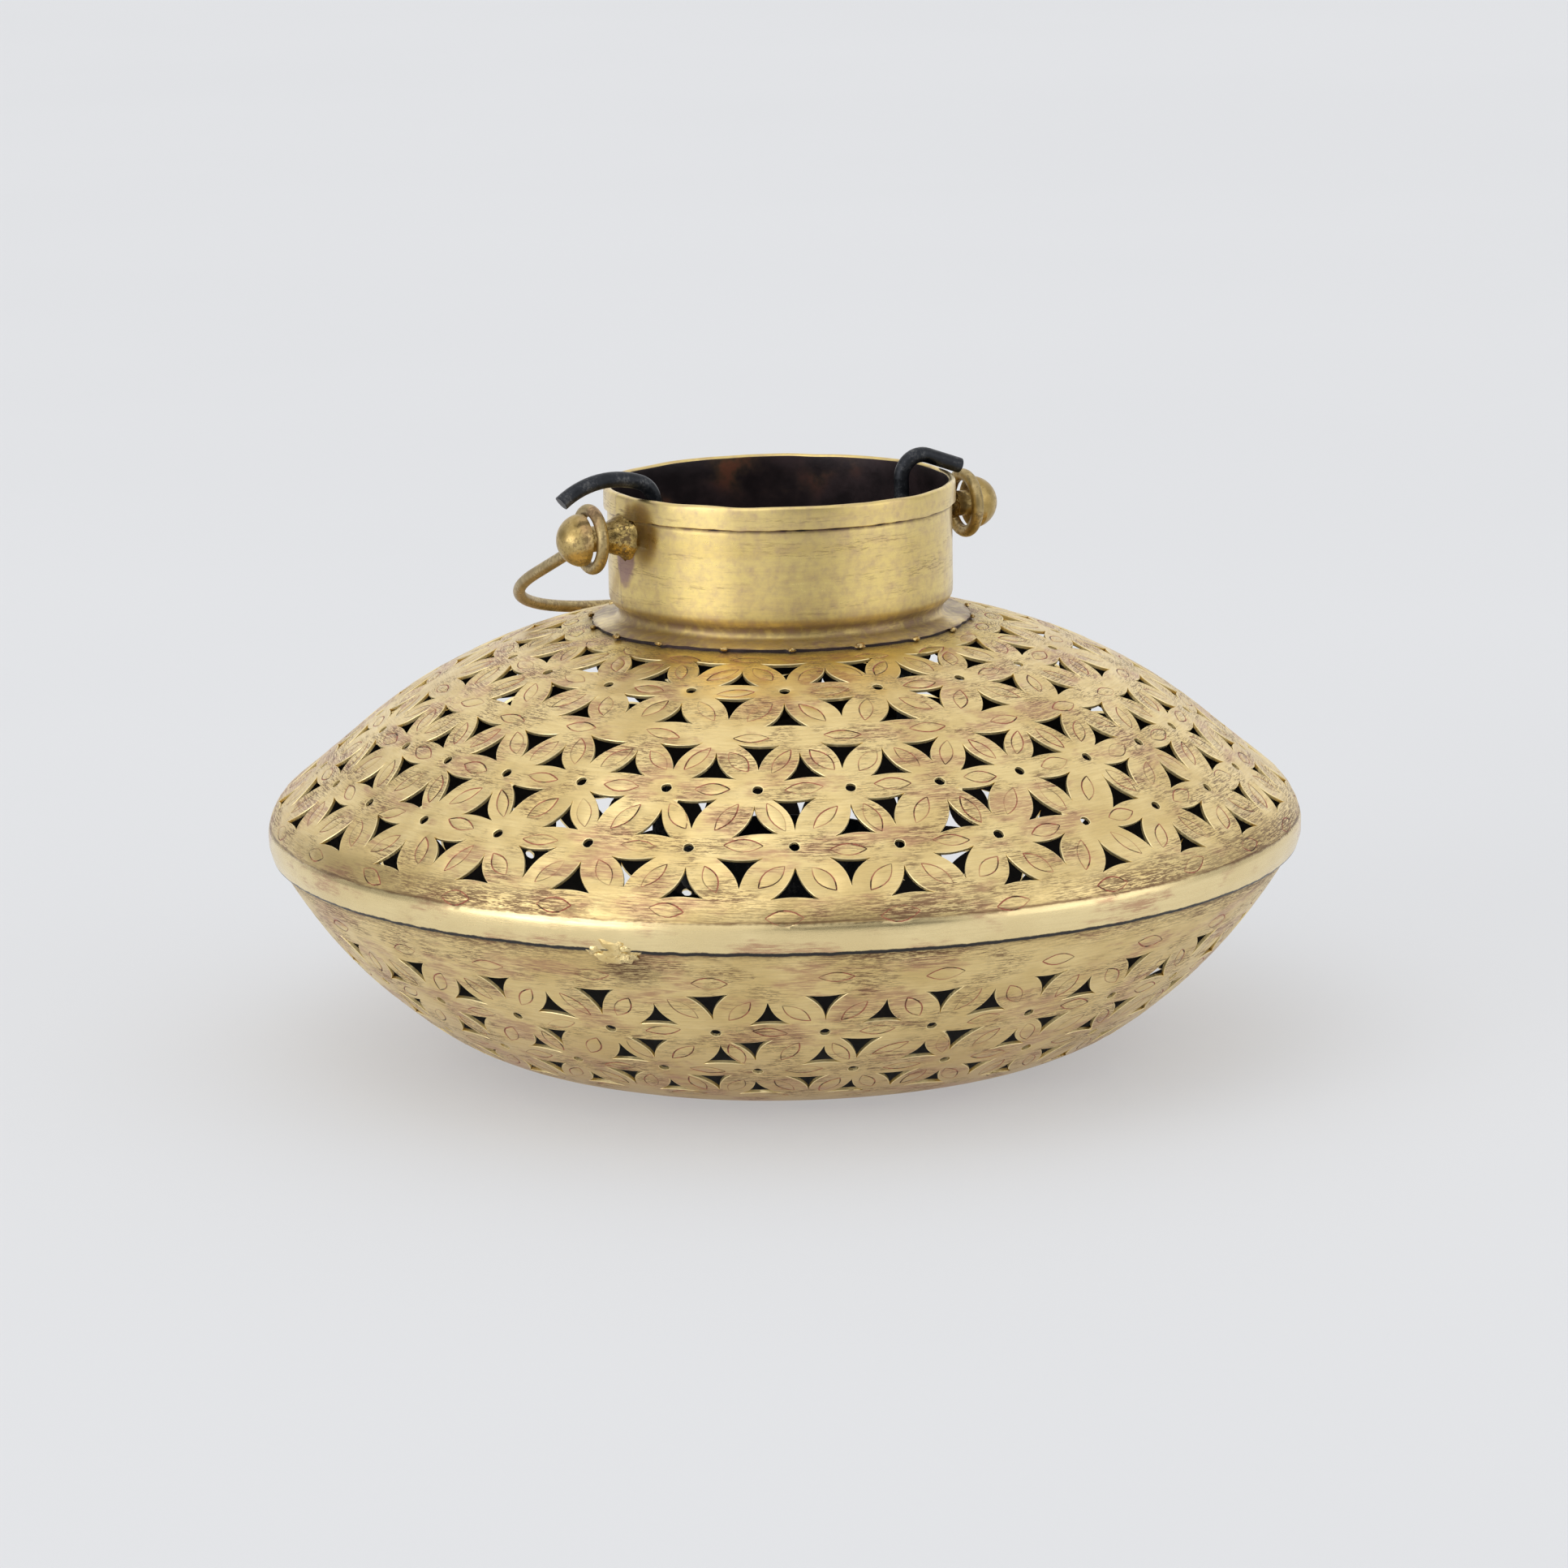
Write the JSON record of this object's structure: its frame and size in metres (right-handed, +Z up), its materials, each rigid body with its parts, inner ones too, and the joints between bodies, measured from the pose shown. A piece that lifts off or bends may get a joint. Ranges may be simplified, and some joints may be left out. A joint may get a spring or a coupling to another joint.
{
  "type": "hanging lantern",
  "caption": "Squat pierced-brass candle lantern: two spun shells, a rolled neck with a wire bail on studs, and a lift-out wire candle holder.",
  "frame": {"origin": "centre of the flat base, on the surface the lantern stands on", "axes": "+Z up along the lantern's axis; X along the two bail studs, left stud at -X; the folded bail lies towards +Y"},
  "size_m": [0.255, 0.255, 0.1468],
  "materials": {
    "brass_sheet": "antiqued brass sheet, circumferentially brushed, dark in the stamped lines",
    "brass_collar": "brushed antiqued brass, darkened inside",
    "brass_fitting": "dull antiqued brass",
    "braze": "lumpy braze and solder, antiqued",
    "iron_wire": "blackened iron"
  },
  "bodies": {
    "lantern": {"upper_shell": "brass_sheet", "lower_shell": "brass_sheet", "seam_tacks": "braze", "neck_collar": "brass_collar", "neck_solder": "braze", "bail_stud_left": "brass_fitting", "bail_stud_right": "brass_fitting", "stud_braze_left": "braze", "stud_braze_right": "braze"},
    "bail": {"bail_handle": "brass_fitting"},
    "candle_holder": {"hanger_wire": "iron_wire", "candle_cup": "iron_wire", "cup_welds": "iron_wire"}
  },
  "joints": [
    {"name": "bail_swing", "type": "hinge", "parent": "lantern", "child": "bail", "pos_m": [0, 0, 0.13], "axis": [1, 0, 0], "range_deg": [0, 112.1]},
    {"name": "holder_lift", "type": "slide", "parent": "lantern", "child": "candle_holder", "axis": [0, 0, 1], "range_m": [0, 0.11]}
  ]
}
